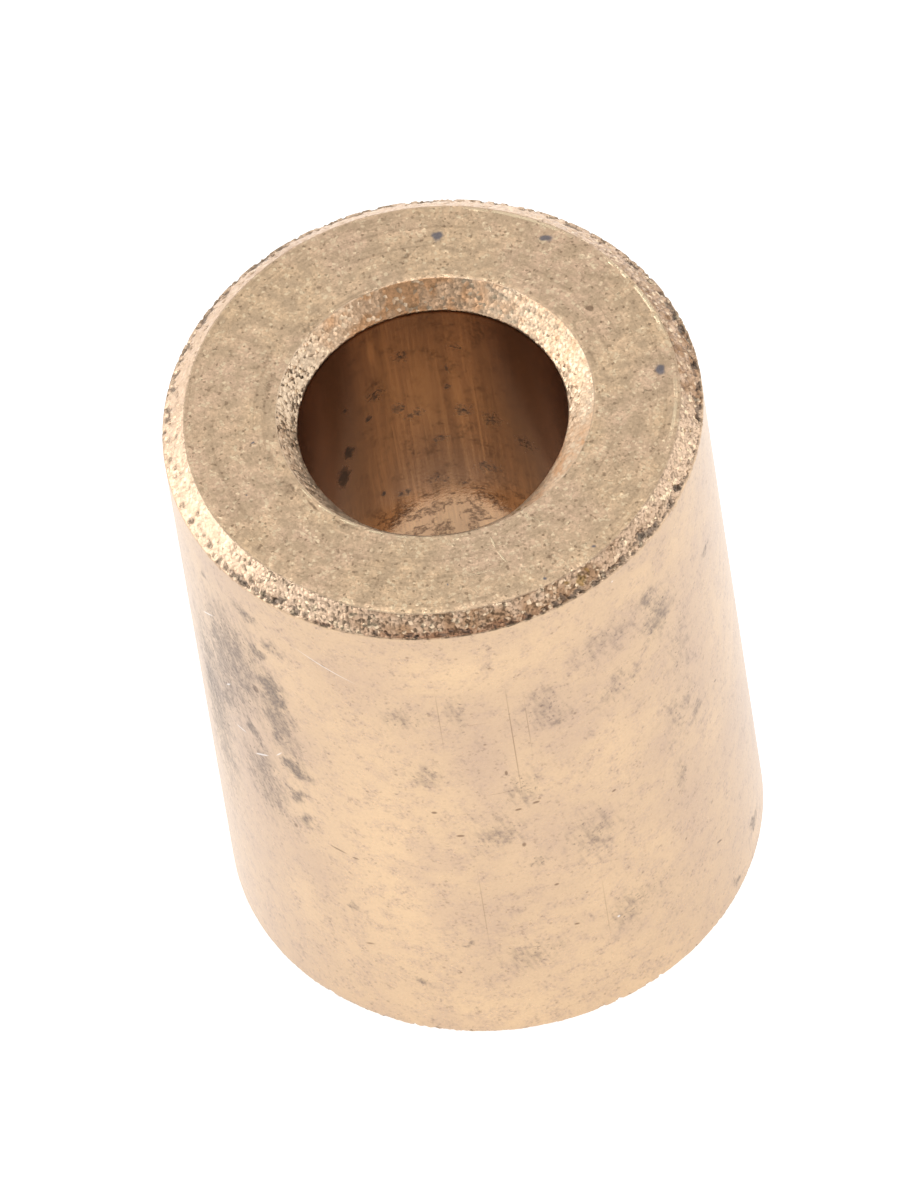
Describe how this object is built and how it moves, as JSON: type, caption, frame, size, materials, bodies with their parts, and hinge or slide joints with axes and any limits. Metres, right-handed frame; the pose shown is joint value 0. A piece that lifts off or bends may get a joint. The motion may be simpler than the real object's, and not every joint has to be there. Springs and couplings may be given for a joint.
{
  "type": "sleeve bushing",
  "caption": "Plain sintered bronze sleeve bushing: a straight cylindrical ring with chamfered ends that carries a rotating shaft in its bore.",
  "frame": {"origin": "centre of the base face, on the axis of the bore", "axes": "+Z along the bore axis, from the base face to the other end face; the part is round about Z, so X and Y are free"},
  "size_m": [0.012, 0.012, 0.016],
  "materials": {
    "sintered_bronze": "satin sized surfaces with fine open pores, and coarser granular chamfers"
  },
  "bodies": {
    "root": {"bushing_sleeve": "sintered_bronze"}
  },
  "joints": []
}
